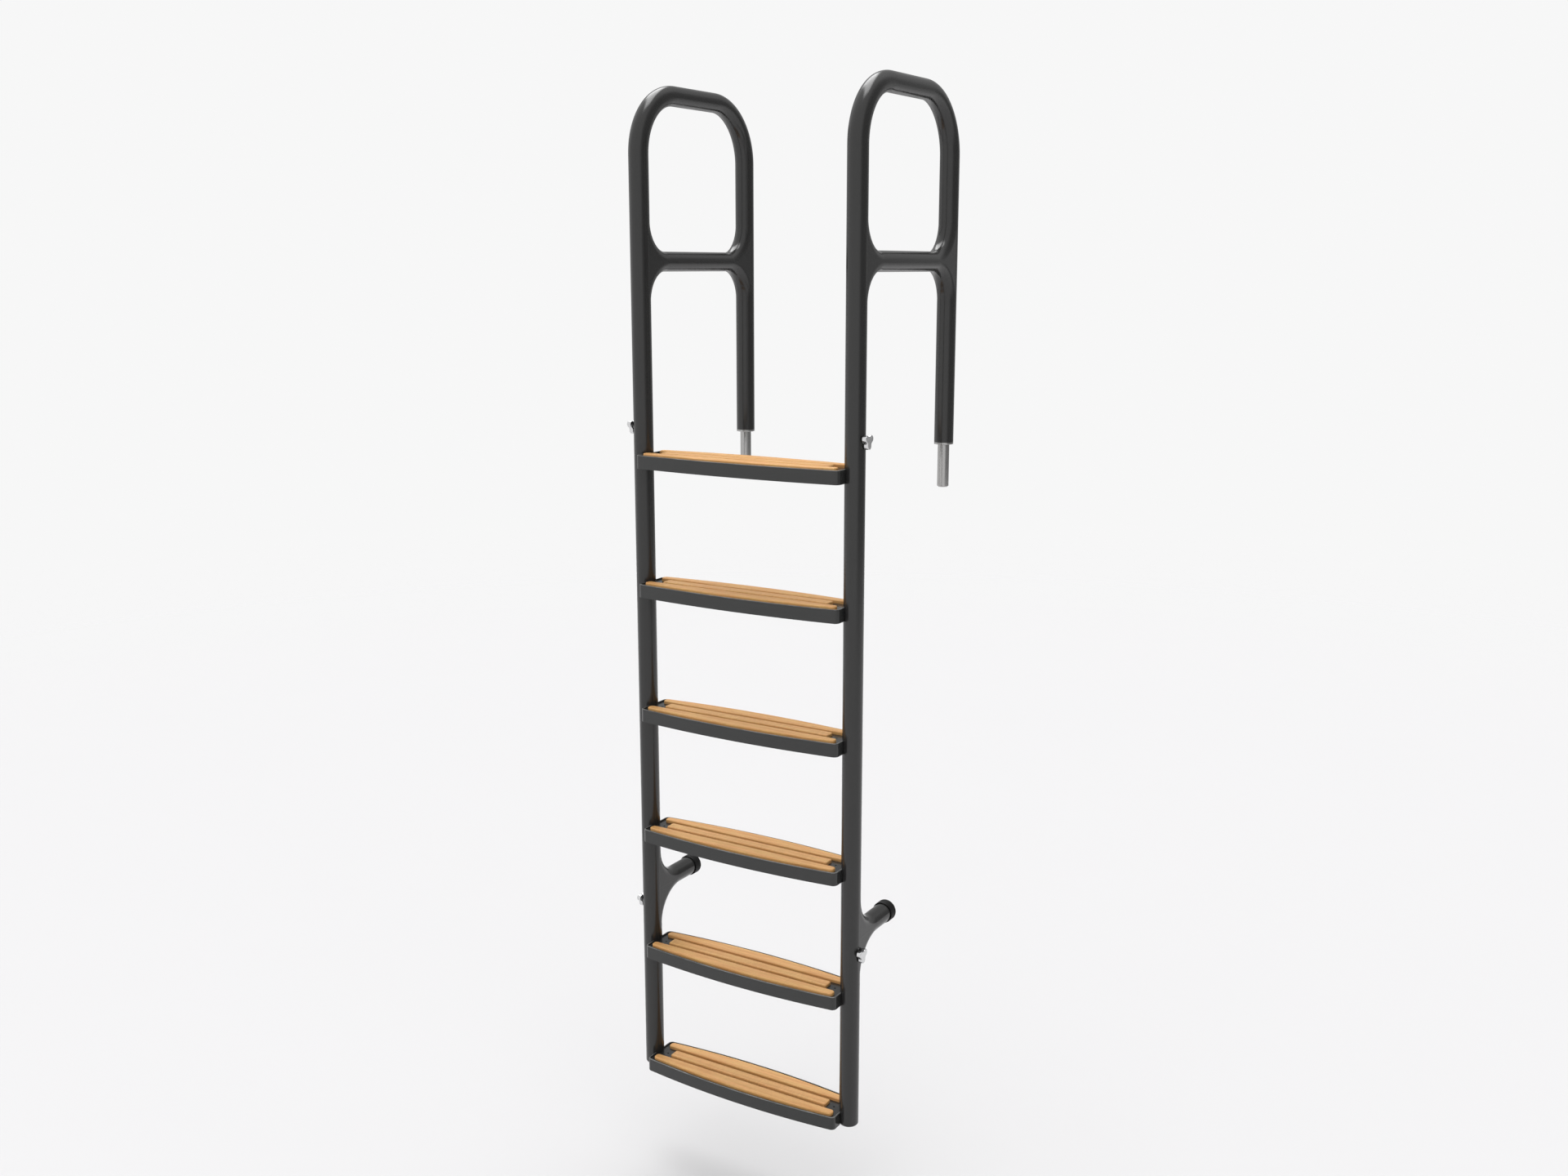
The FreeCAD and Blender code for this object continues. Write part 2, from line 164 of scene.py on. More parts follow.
def coated_pan():
    """The tread pans' coat: finely pebbled, with a painted highlight in patches along the lip."""
    made, tree, shader, coords = material("anthracite_pan_coat", IOR=1.5)
    cloud = tree.noise(coords, 14.0, 4.0)
    fine = tree.noise(coords, 420.0, 3.0)
    lip_z = high("tread_pan_1").z + 0.05 * MM
    pitch = high("tread_pan_1").z - high("tread_pan_2").z
    height = tree.node("SeparateXYZ", {0: coords}).outputs[2]
    depth = tree.math("MODULO", tree.math("SUBTRACT", lip_z, height), pitch)
    patch = tree.noise(tree.scaled(coords, (18.0, 60.0, 60.0)), 1.0, 3.0, 0.6)
    # Painted highlight: a pale band in patches on the top 1.3 mm of each pan's lip, where the rim catches the
    # overhead light; the band is also a little rougher.
    on_lip = tree.ramp(depth, 0.5 * MM, 1.3 * MM, 1.0, 0.0)
    painted_lip_highlight = tree.math("MULTIPLY", on_lip, tree.ramp(patch, 0.3, 0.6, 0.35, 1.0))
    colour = tree.mix(cloud, (0.022, 0.0225, 0.0222, 1), (0.028, 0.0285, 0.028, 1))
    tree.feed(shader.inputs["Base Color"], tree.mix(painted_lip_highlight, colour, (0.165, 0.165, 0.160, 1)))
    rough = tree.math("ADD", tree.ramp(cloud, 0.3, 0.7, 0.15, 0.20), tree.ramp(fine, 0.3, 0.7, -0.02, 0.02))
    rough = tree.math("ADD", rough, tree.math("MULTIPLY", painted_lip_highlight, 0.12))
    tree.feed(shader.inputs["Roughness"], rough)
    tree.feed(shader.inputs["Normal"], tree.bump(fine, 0.04, 0.08 * MM))
    return made


def teak(name, figure_share):
    """Oiled teak: slow bands, fibres along X, pores, and figure across the grain."""
    made, tree, shader, coords = material(name, IOR=1.4)
    drift = tree.noise(tree.scaled(coords, (4.0, 55.0, 55.0)), 1.0, 3.0, 0.55)
    sway = tree.node("CombineXYZ", {1: tree.math("MULTIPLY", drift, 0.035)}).outputs[0]
    bands = tree.node("TexWave", {"Vector": tree.added(tree.scaled(coords, (0.05, 1.0, 1.0)), sway),
                                  "Scale": 22.0, "Distortion": 2.5, "Detail": 3.0,
                                  "Detail Scale": 1.5, "Detail Roughness": 0.6},
                      wave_type="BANDS", bands_direction="Y").outputs["Fac"]
    fibre = tree.noise(tree.scaled(coords, (26.0, 620.0, 620.0)), 1.0, 4.0, 0.6)
    patch = tree.noise(tree.scaled(coords, (15.0, 95.0, 95.0)), 1.0, 2.0, 0.5)
    pore = tree.ramp(tree.noise(tree.scaled(coords, (150.0, 2200.0, 2200.0)), 1.0, 1.0), 0.62, 0.72,
                     smooth=True)
    figure = tree.noise(tree.scaled(coords, (520.0, 60.0, 60.0)), 1.0, 2.0)

    colour = tree.mix(tree.ramp(bands, 0.1, 0.95), (0.665, 0.330, 0.112, 1), (0.770, 0.414, 0.162, 1))
    colour = tree.mix(tree.ramp(patch, 0.40, 0.68, 0.0, 0.8), colour, (0.725, 0.440, 0.160, 1))
    colour = tree.mix(tree.ramp(fibre, 0.42, 0.70, 0.0, 0.42), colour, (0.540, 0.265, 0.090, 1))
    colour = tree.mix(tree.ramp(figure, 0.42, 0.68, 0.0, figure_share), colour, (0.540, 0.280, 0.098, 1))
    colour = tree.mix(tree.math("MULTIPLY", pore, 0.45), colour, (0.260, 0.118, 0.038, 1))
    tree.feed(shader.inputs["Base Color"], colour)
    tree.feed(shader.inputs["Roughness"], tree.ramp(fibre, 0.3, 0.7, 0.46, 0.62))
    relief = tree.math("SUBTRACT", tree.math("MULTIPLY", fibre, 0.6), tree.math("MULTIPLY", pore, 0.8))
    tree.feed(shader.inputs["Normal"], tree.bump(relief, 0.30, 0.12 * MM))
    return made


def brushed_steel():
    """Stainless pins with fine lines along their length."""
    made, tree, shader, coords = material("turned_steel", Metallic=1.0)
    lines = tree.noise(tree.scaled(coords, (2600.0, 2600.0, 30.0)), 1.0, 3.0, 0.6)
    cloud = tree.noise(coords, 40.0, 3.0)
    tree.feed(shader.inputs["Base Color"], tree.mix(lines, (0.36, 0.355, 0.35, 1), (0.47, 0.465, 0.46, 1)))
    tree.feed(shader.inputs["Roughness"], tree.math("ADD", tree.ramp(lines, 0.3, 0.7, 0.13, 0.24),
                                                    tree.ramp(cloud, 0.3, 0.7, 0.0, 0.05)))
    tree.feed(shader.inputs["Normal"], tree.bump(lines, 0.12, 0.03 * MM))
    return made


def chrome():
    """Polished knob with faint handling haze."""
    made, tree, shader, coords = material("polished_chrome", Metallic=1.0)
    haze = tree.noise(coords, 300.0, 4.0)
    tree.feed(shader.inputs["Base Color"], tree.mix(haze, (0.62, 0.62, 0.625, 1), (0.72, 0.72, 0.725, 1)))
    tree.feed(shader.inputs["Roughness"], tree.ramp(haze, 0.35, 0.75, 0.16, 0.28))
    tree.feed(shader.inputs["Normal"], tree.bump(haze, 0.04, 0.02 * MM))
    return made


def machined_steel(name, tone, pitch_axis):
    """Studs and screws: fine turning rings across the axis."""
    made, tree, shader, coords = material(name, Metallic=1.0)
    scale = [120.0, 120.0, 120.0]
    scale[pitch_axis] = 4200.0
    rings = tree.noise(tree.scaled(coords, tuple(scale)), 1.0, 2.0)
    tree.feed(shader.inputs["Base Color"], tree.mix(rings, grey(tone * 0.85), grey(tone)))
    tree.feed(shader.inputs["Roughness"], tree.ramp(rings, 0.3, 0.7, 0.22, 0.36))
    tree.feed(shader.inputs["Normal"], tree.bump(rings, 0.2, 0.03 * MM))
    return made


def washer_plastic():
    made, tree, shader, coords = material("black_nylon", IOR=1.5)
    grain = tree.noise(coords, 900.0, 3.0)
    tree.feed(shader.inputs["Base Color"], tree.mix(grain, grey(0.004), grey(0.009)))
    tree.feed(shader.inputs["Roughness"], tree.ramp(grain, 0.3, 0.7, 0.38, 0.5))
    tree.feed(shader.inputs["Normal"], tree.bump(grain, 0.2, 0.05 * MM))
    return made


def rubber():
    """Moulded rubber of the fender caps: matt, with fine grain and chalky scuffs."""
    made, tree, shader, coords = material("moulded_rubber", IOR=1.3)
    grain = tree.noise(coords, 1100.0, 4.0, 0.6)
    scuff = tree.ramp(tree.noise(coords, 60.0, 5.0, 0.7), 0.52, 0.75, smooth=True)
    tree.feed(shader.inputs["Base Color"], tree.mix(scuff, (0.0028, 0.0027, 0.0029, 1),
                                                    (0.0055, 0.0053, 0.0056, 1)))
    tree.feed(shader.inputs["Roughness"], tree.ramp(grain, 0.3, 0.7, 0.5, 0.66))
    tree.feed(shader.inputs["Normal"], tree.bump(grain, 0.25, 0.08 * MM))
    return made


MATERIALS = {
    "dark_tube": coated_tube(),
    "tread_pan": coated_pan(),
    "teak": teak("teak", 0.15),
    "pin_steel": brushed_steel(),
    "knob_chrome": chrome(),
    "stud_steel": machined_steel("turned_stud", 0.55, 0),
    "screw_steel": machined_steel("screw_steel", 0.5, 2),
    "washer_plastic": washer_plastic(),
    "fender_rubber": rubber(),
}
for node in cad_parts.values():
    for slot in node.material_slots:
        slot.material = MATERIALS[slot.material.name.split(".")[0]]


# ----------------------------------------------------------- mesh foundations

def skin(rings, loop):
    """Quads between neighbouring rings. With loop, the last ring joins the first; without it, flat ends."""
    rings = np.asarray(rings, float)
    count, points = rings.shape[:2]
    vertices = rings.reshape(-1, 3)
    faces = []
    for i in range(count if loop else count - 1):
        here, there = i * points, (i + 1) % count * points
        for j in range(points):
            k = (j + 1) % points
            faces.append((here + j, here + k, there + k, there + j))
    if not loop:
        faces.append(tuple(range(points))[::-1])
        faces.append(tuple((count - 1) * points + j for j in range(points)))
    return vertices, faces


def face_outward(mesh):
    cage = bmesh.new()
    cage.from_mesh(mesh)
    bmesh.ops.recalc_face_normals(cage, faces=cage.faces)
    cage.to_mesh(mesh)
    cage.free()


def piece(name, shell, slot_name, body, nodes, sharp_angle=35.0, finish=None):
    """Mesh piece in place of CAD nodes, smooth except where faces meet at more than sharp_angle."""
    vertices, faces = shell
    mesh = bpy.data.meshes.new(name)
    mesh.from_pydata([tuple(v) for v in vertices], [], faces)
    face_outward(mesh)
    mesh.materials.append(finish or MATERIALS[slot_name])
    mesh.polygons.foreach_set("use_smooth", [True] * len(mesh.polygons))
    mesh.set_sharp_from_angle(angle=math.radians(sharp_angle))
    made = bpy.data.objects.new(name, mesh)
    bpy.context.scene.collection.objects.link(made)
    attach(made, body)
    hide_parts(*nodes)
    return made


def joined(shells):
    vertices, faces = [], []
    for some_vertices, some_faces in shells:
        start = len(vertices)
        vertices.extend(some_vertices)
        faces.extend(tuple(start + i for i in face) for face in some_faces)
    return vertices, faces


def circle(centre, across, up, radius, points=RING_POINTS):
    """Ring of points; radius is one number, or one for each point."""
    radius = np.reshape(radius, (-1, 1))
    angles = np.linspace(0, 2 * math.pi, points, endpoint=False)[:, None]
    turn = np.cos(angles) * np.asarray(across) + np.sin(angles) * np.asarray(up)
    return np.asarray(centre) + radius * turn


def turned(profile, origin, axis, across, points=RING_POINTS, loop=False):
    """Revolve (distance along axis, radius) pairs round the line from origin along axis."""
    axis, across = np.asarray(axis, float), np.asarray(across, float)
    up = np.cross(axis, across)
    rings = []
    for along, radius in profile:
        rings.append(circle(np.asarray(origin) + axis * along, across, up, radius, points))
    return skin(rings, loop)


def rounded(corner, before, after, radius, steps=6):
    """Arc that rounds the corner of a profile between two neighbouring points."""
    corner, before, after = (np.asarray(p, float) for p in (corner, before, after))
    first = (before - corner) / np.linalg.norm(before - corner)
    second = (after - corner) / np.linalg.norm(after - corner)
    half = math.acos(np.clip(first @ second, -1, 1)) / 2
    start, end = corner + first * radius / math.tan(half), corner + second * radius / math.tan(half)
    centre = corner + (first + second) / np.linalg.norm(first + second) * radius / math.sin(half)
    points = []
    for t in np.linspace(0, 1, steps + 1):
        p = start * (1 - t) + end * t - centre
        points.append(tuple(centre + p / np.linalg.norm(p) * radius))
    return points


def soft_profile(corners, loop=False):
    """Profile from (along, radius, rounding) corners, in millimetres; returned in metres."""
    count = len(corners)
    points = []
    for i, (along, radius, rounding) in enumerate(corners):
        if rounding and (loop or 0 < i < count - 1):
            before, after = corners[i - 1][:2], corners[(i + 1) % count][:2]
            points.extend(rounded((along, radius), before, after, rounding))
        else:
            points.append((along, radius))
    return [(a * MM, r * MM) for a, r in points]


# --------------------------------------------------------------------- tubes

def tube_shell(points, tangents, outer, inner, chamfer):
    """Hollow tube along a line in a plane x = constant, with chamfered ends."""
    across = np.array((1.0, 0.0, 0.0))

    def ring(i, shift, radius):
        return circle(points[i] + tangents[i] * shift, across, np.cross(tangents[i], across), radius)

    last = len(points) - 1
    rings = [ring(0, 0, outer - chamfer), ring(0, chamfer, outer)]
    rings += [ring(i, 0, outer) for i in range(1, last)]
    rings += [ring(last, -chamfer, outer), ring(last, 0, outer - chamfer)]
    rings += [ring(last, 0, inner + chamfer), ring(last, -chamfer, inner)]
    rings += [ring(i, 0, inner) for i in range(last - 1, 0, -1)]
    rings += [ring(0, chamfer, inner), ring(0, 0, inner + chamfer)]
    return skin(rings, True)


TUBE_R = (high("lower_stile_left").x - low("lower_stile_left").x) / 2
TUBE_WALL = 2.5 * MM
BORE_R = TUBE_R - TUBE_WALL
TOP_BEND_R = 120 * MM
BEND_STEPS = 48
END_CHAMFER = 0.08 * MM
PIN_PLUG_LENGTH = 30 * MM    # part of the deck pin that stands in the leg


def handrail_line(side):
    """Points and tangents of a handrail's centreline, from the stile's end to the deck flange."""
    node = f"handrail_{side}"
    x, stile_y, leg_y = middle(node).x, low(node).y + TUBE_R, high(node).y - TUBE_R
    top = high(node).z - TUBE_R
    bend_z = top - TOP_BEND_R
    points = [(x, stile_y, low(node).z)]
    tangents = [(0, 0, 1)]
    for i in range(BEND_STEPS + 1):
        a = math.pi / 2 * i / BEND_STEPS
        points.append((x, stile_y + TOP_BEND_R * (1 - math.cos(a)), bend_z + TOP_BEND_R * math.sin(a)))
        tangents.append((0, math.sin(a), math.cos(a)))
    for i in range(BEND_STEPS + 1):
        a = math.pi / 2 * i / BEND_STEPS
        points.append((x, leg_y - TOP_BEND_R * (1 - math.sin(a)), bend_z + TOP_BEND_R * math.cos(a)))
        tangents.append((0, math.cos(a), -math.sin(a)))
    points.append((x, leg_y, high(f"deck_pin_{side}").z - PIN_PLUG_LENGTH))
    tangents.append((0, 0, -1))
    return np.array(points, float), np.array(tangents, float)


def straight_line(node):
    centre = middle(node)
    points = [(centre.x, centre.y, z) for z in (low(node).z, centre.z, high(node).z)]
    return np.array(points, float), np.array([(0, 0, 1)] * 3, float)


for side in SIDES:
    piece(f"bent_rail_{side}", tube_shell(*handrail_line(side), TUBE_R, BORE_R, END_CHAMFER),
          "dark_tube", "handrails", [f"handrail_{side}"])
    piece(f"stile_tube_{side}", tube_shell(*straight_line(f"main_stile_{side}"), TUBE_R, BORE_R, END_CHAMFER),
          "dark_tube", "main_frame", [f"main_stile_{side}"])
    piece(f"low_stile_tube_{side}",
          tube_shell(*straight_line(f"lower_stile_{side}"), TUBE_R, BORE_R, END_CHAMFER),
          "dark_tube", "lower_frame", [f"lower_stile_{side}"])


# --------------------------------------------------------------------- slats

def bowed_outline(half_length, front, back, corner_r, corner_steps=8, side_steps=48):
    """Outline and outward normals of a plate, anticlockwise from above.

    front and back are (y at the ends, y in the middle); equal numbers give a straight edge.
    """
    points, normals = [], []

    def edge(end_y, mid_y, outward):
        """Centre y and radius of the edge's arc, or None for a straight edge."""
        rise = (mid_y - end_y) * outward
        if rise < 1e-9:
            return None
        radius = (half_length ** 2 + rise ** 2) / (2 * rise)
        return mid_y - outward * radius, radius

    corner_x = half_length - corner_r

    def corner(end_y, mid_y, outward):
        """Corner's centre y, and the angle between the edge's normal there and the Y axis."""
        arc = edge(end_y, mid_y, outward)
        if arc is None:
            return end_y - outward * corner_r, 0.0
        centre_y, radius = arc
        reach = math.sqrt((radius - corner_r) ** 2 - corner_x ** 2)
        return centre_y + outward * reach, math.atan2(corner_x, reach)

    def add_corner(x_sign, centre_y, start, end):
        for angle in np.linspace(start, end, corner_steps + 1):
            normal = (math.cos(angle), math.sin(angle))
            points.append((x_sign * corner_x + corner_r * normal[0], centre_y + corner_r * normal[1]))
            normals.append(normal)

    def add_edge(end_y, mid_y, outward, x_sign):
        """Points strictly between the two corners, walking from -x_sign to x_sign."""
        arc = edge(end_y, mid_y, outward)
        if arc is None:
            for t in np.linspace(-1, 1, side_steps + 1)[1:-1]:
                points.append((x_sign * t * corner_x, end_y))
                normals.append((0.0, outward))
            return
        centre_y, radius = arc
        tilt = corner(end_y, mid_y, outward)[1]
        for t in np.linspace(-1, 1, side_steps + 1)[1:-1]:
            normal = (math.sin(x_sign * t * tilt), outward * math.cos(t * tilt))
            points.append((radius * normal[0], centre_y + radius * normal[1]))
            normals.append(normal)

    front_y, front_tilt = corner(*front, -1)
    back_y, back_tilt = corner(*back, 1)
    add_edge(*front, -1, 1)
    add_corner(1, front_y, -math.pi / 2 + front_tilt, 0)
    add_corner(1, back_y, 0, math.pi / 2 - back_tilt)
    add_edge(*back, 1, -1)
    add_corner(-1, back_y, math.pi / 2 + back_tilt, math.pi)
    add_corner(-1, front_y, math.pi, 3 * math.pi / 2 - front_tilt)
    return np.array(points), np.array(normals)


def plate_shell(outline, normals, bottom, top, edge_r, foot, steps=7):
    """Solid plate with a rounded top edge and a small chamfer under it."""
    border = 0.3 * MM
    layers = [(bottom, foot + border), (bottom, foot), (bottom + foot, 0.0), (top - edge_r, 0.0)]
    for i in range(1, steps + 1):
        a = math.pi / 2 * i / steps
        layers.append((top - edge_r + edge_r * math.sin(a), edge_r * (1 - math.cos(a))))
    layers.append((top, edge_r + border))
    rings = []
    for z, inset in layers:
        flat = outline - normals * inset
        rings.append(np.column_stack([flat, np.full(len(flat), z)]))
    return skin(rings, False)


SLAT_BOW = 13.3 * MM         # bulge of a side slat's outer edge
SIDE_SLAT_CORNER_R = 7 * MM
MID_SLAT_CORNER_R = 4 * MM
SLAT_EDGE_R = 2.5 * MM
SLAT_FOOT = 0.5 * MM         # chamfer under a slat
MAIN_STEP_COUNT = 4


def slat_outline(place, node, step_y):
    corner_low, corner_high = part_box(node)
    front_y, back_y = corner_low.y - step_y, corner_high.y - step_y
    front, back = (front_y, front_y), (back_y, back_y)
    corner_r = MID_SLAT_CORNER_R
    if place == "front":
        front = (front_y + SLAT_BOW, front_y)
        corner_r = SIDE_SLAT_CORNER_R
    elif place == "rear":
        back = (back_y - SLAT_BOW, back_y)
        corner_r = SIDE_SLAT_CORNER_R
    outline, normals = bowed_outline(corner_high.x, front, back, corner_r)
    return outline + np.array((0.0, step_y)), normals


FIGURED_TEAK = teak("figured_teak", 0.45)
for number in STEPS:
    body = "main_frame" if number <= MAIN_STEP_COUNT else "lower_frame"
    step_y = middle(f"tread_pan_{number}").y
    for place in SLAT_PLACES:
        node = f"slat_{number}_{place}"
        outline, normals = slat_outline(place, node, step_y)
        shell = plate_shell(outline, normals, low(node).z, high(node).z, SLAT_EDGE_R, SLAT_FOOT)
        piece(f"teak_slat_{number}_{place}", shell, "teak", body, [node],
              finish=FIGURED_TEAK if place == "middle" else None)


# ------------------------------------------------------- turned small pieces

X_WAY, Y_WAY, Z_WAY = np.eye(3)

# Profiles are (distance along the axis, radius, rounding) corners, in millimetres.
PIN_PROFILE = [(-90, 10, 0), (-88, 12, 0.5), (-1.5, 12, 0.3), (-1.2, 11.7, 0.2), (0, 11.7, 0.2),
               (0, 20, 0.4), (4.2, 20, 0.3), (4.2, 17.45, 0), (34.2, 17.45, 0.5), (34.2, 15, 0)]
FENDER_PROFILE = [(18, 18, 0), (18, 20.05, 0.5), (7, 20.05, 0.5), (4.6, 21.6, 0.5), (0.4, 21.6, 0.2),
                  (0, 21.7, 0), (0, 21.9, 0), (1.6, 22.3, 0.8), (21, 22.3, 1.8), (21, 16.5, 0.3),
                  (20.5, 15.8, 0.3), (20.5, 12, 0)]
FOOT_PROFILE = [(0, 12, 0), (0, 20, 4.5), (6, 20, 0), (6, 17.45, 0), (21, 17.45, 0.5), (21, 15, 0)]
WASHER_PROFILE = [(21.1, 4.05, 0), (21.1, 8, 0.3), (22.2, 8, 0.1), (22.4, 7.6, 0.1), (23.2, 7.6, 0.1),
                  (23.4, 8, 0.1), (24.6, 8, 0.3), (24.6, 4.05, 0)]
SCREW_PROFILE = [(-2.4, 1.9, 0), (-2.4, 4.0, 0.9), (0, 4.0, 0), (0, 2.0, 0), (8.4, 2.0, 0), (9.0, 1.4, 0)]

# Knobs and studs, in millimetres; distances along the axis are measured from the stile's axis.
KNOB_POINTS = 144
KNOB_BACK = 22.0
KNOB_FACE = 31.0
KNOB_HUB_R = 9.0
KNOB_LOBES = 3
KNOB_LOBE_R = 6.8
KNOB_LOBE_OFFSET = 9.4
KNOB_EDGE_R = 1.4
KNOB_RECESS_R = 8.3
KNOB_RECESS_END = 24.7
STUD_POINTS = 48
STUD_R = 4.0
STUD_START = 15.9
STUD_END = 27.0
THREAD_PITCH = 1.25
THREAD_DEPTH = 0.5

# Slat screws
SCREW_POINTS = 48
SCREW_SOCKET_R = 1.25        # millimetres, to the hexagon's flats
SCREW_HEAD_R = 4 * MM
SCREW_SEAT = 9 * MM          # depth of the pan's underside below its lip


def knob_outline():
    """Radius of the three-lobed outline, in millimetres, for each point; one lobe hangs straight down."""
    angles = np.linspace(0, 2 * math.pi, KNOB_POINTS, endpoint=False)
    radius = np.full(KNOB_POINTS, KNOB_HUB_R)
    for lobe in range(KNOB_LOBES):
        turn = angles + math.pi / 2 - lobe * 2 * math.pi / KNOB_LOBES
        span = KNOB_LOBE_R ** 2 - (KNOB_LOBE_OFFSET * np.sin(turn)) ** 2
        reach = KNOB_LOBE_OFFSET * np.cos(turn) + np.sqrt(np.maximum(span, 0))
        radius = np.where((span > 0) & (np.cos(turn) > 0), np.maximum(radius, reach), radius)
    shifts = np.arange(-10, 11)
    softness = 3.2
    weights = np.exp(-(shifts / softness) ** 2 / 2)
    return sum(w * np.roll(radius, k) for w, k in zip(weights / weights.sum(), shifts))


def knob_layers(steps=7):
    """(distance along the axis, radii) from the stud's end in the knob's socket to its rounded face."""
    outline = knob_outline()
    layers = [(STUD_END, STUD_R), (KNOB_RECESS_END, STUD_R), (KNOB_RECESS_END, KNOB_RECESS_R - 0.3),
              (KNOB_RECESS_END - 0.3, KNOB_RECESS_R), (KNOB_BACK, KNOB_RECESS_R),
              (KNOB_BACK, outline - 0.5), (KNOB_BACK + 0.4, outline - 0.1), (KNOB_BACK + 0.7, outline)]
    for i in range(steps + 1):
        a = math.pi / 2 * i / steps
        along = KNOB_FACE - KNOB_EDGE_R * (1 - math.sin(a))
        layers.append((along, outline - KNOB_EDGE_R * (1 - math.cos(a))))
    layers += [(KNOB_FACE - 0.02, outline - KNOB_EDGE_R - 0.8), (KNOB_FACE - 0.1, outline * 0.55),
               (KNOB_FACE - 0.12, outline * 0.25)]
    return [(along * MM, radii * MM) for along, radii in layers]


def stud_layers():
    """Helical thread; each layer's radii follow the thread's turn."""
    turns = np.arange(STUD_POINTS) / STUD_POINTS
    layers = []
    for along in np.arange(STUD_START, STUD_END, THREAD_PITCH / 8):
        phase = (along / THREAD_PITCH - turns) % 1.0
        depth = THREAD_DEPTH * np.clip(np.abs(phase - 0.5) * 2.6 - 0.2, 0, 1)
        layers.append((along * MM, (STUD_R - depth) * MM))
    return layers


def screw_layers():
    """Pan head with a hexagonal socket, then the shank; distances run upwards from the head's seat."""
    angles = np.linspace(0, 2 * math.pi, SCREW_POINTS, endpoint=False)
    hexagon = SCREW_SOCKET_R / np.cos((angles + math.pi / 6) % (math.pi / 3) - math.pi / 6)
    socket = [(-1.0 * MM, hexagon * MM), (-2.3 * MM, hexagon * MM), (-2.4 * MM, (hexagon + 0.1) * MM)]
    return socket + soft_profile(SCREW_PROFILE)


def on_axis(node, axis):
    """Point on the node's axis at row coordinate zero along that axis."""
    centre = np.array(middle(node))
    return centre * (1 - np.abs(axis))


for side, sign in SIDES.items():
    pin = f"deck_pin_{side}"
    piece(f"turned_pin_{side}", turned(soft_profile(PIN_PROFILE), on_axis(pin, Z_WAY), Z_WAY, X_WAY),
          "pin_steel", "handrails", [pin])

    cap = f"fender_cap_{side}"
    mouth = on_axis(cap, Y_WAY) + Y_WAY * low(cap).y
    piece(f"rubber_cap_{side}", turned(soft_profile(FENDER_PROFILE), mouth, Y_WAY, Z_WAY),
          "fender_rubber", "main_frame", [cap])

    foot = f"foot_cap_{side}"
    sole = on_axis(foot, Z_WAY) + Z_WAY * low(foot).z
    piece(f"foot_plug_{side}", turned(soft_profile(FOOT_PROFILE), sole, Z_WAY, X_WAY),
          "dark_tube", "lower_frame", [foot])

    stile_x = middle(f"lower_stile_{side}").x
    for level in ("upper", "lower"):
        name = f"{level}_{{}}_{side}"
        centre = on_axis(name.format("knob"), X_WAY) + X_WAY * stile_x
        centre[1] = middle(name.format("washer")).y
        centre[2] = middle(name.format("washer")).z
        outward = X_WAY * sign
        piece(f"collar_{level}_{side}",
              turned(soft_profile(WASHER_PROFILE, loop=True), centre, outward, Y_WAY, loop=True),
              "washer_plastic", f"{level}_clamp_washer_{side}", [name.format("washer")])
        knob = turned(knob_layers(), centre, outward, Y_WAY * sign, points=KNOB_POINTS)
        piece(f"lobed_knob_{level}_{side}", knob, "knob_chrome", f"{level}_clamp_knob_{side}",
              [name.format("knob")])
        stud = turned(stud_layers(), centre, outward, Y_WAY * sign, points=STUD_POINTS)
        piece(f"threaded_stud_{level}_{side}", stud, "stud_steel", f"{level}_clamp_knob_{side}",
              [name.format("stud")], sharp_angle=25.0)

for node, body, numbers in (("main_slat_screws", "main_frame", STEPS[:MAIN_STEP_COUNT]),
                            ("lower_slat_screws", "lower_frame", STEPS[MAIN_STEP_COUNT:])):
    screw_x = high(node).x - SCREW_HEAD_R
    screw_y = high(node).y - SCREW_HEAD_R - middle(node).y
    shells = []
    for number in numbers:
        seat_z = high(f"tread_pan_{number}").z - SCREW_SEAT
        for x in (-screw_x, screw_x):
            for y in (-screw_y, 0.0, screw_y):
                seat = np.array((x, middle(node).y + y, seat_z))
                shells.append(turned(screw_layers(), seat, Z_WAY, X_WAY, points=SCREW_POINTS))
    piece(f"socket_screws_{body}", joined(shells), "screw_steel", body, [node])


# --------------------------------------------------- light, floor and camera

FLOOR_DROP = 220 * MM        # the ladder hangs this far above the floor
FLOOR_Z = low("foot_cap_left").z - FLOOR_DROP
FLOOR_RADIUS = 9.0
FLOOR_POINTS = 64
BACKDROP = (0.931, 0.931, 0.931, 1.0)


def heading(azimuth, elevation):
    """Direction in degrees: azimuth 0 is towards -Y, 90 towards +X."""
    a, e = math.radians(azimuth), math.radians(elevation)
    return np.array((math.sin(a) * math.cos(e), -math.cos(a) * math.cos(e), math.sin(e)))


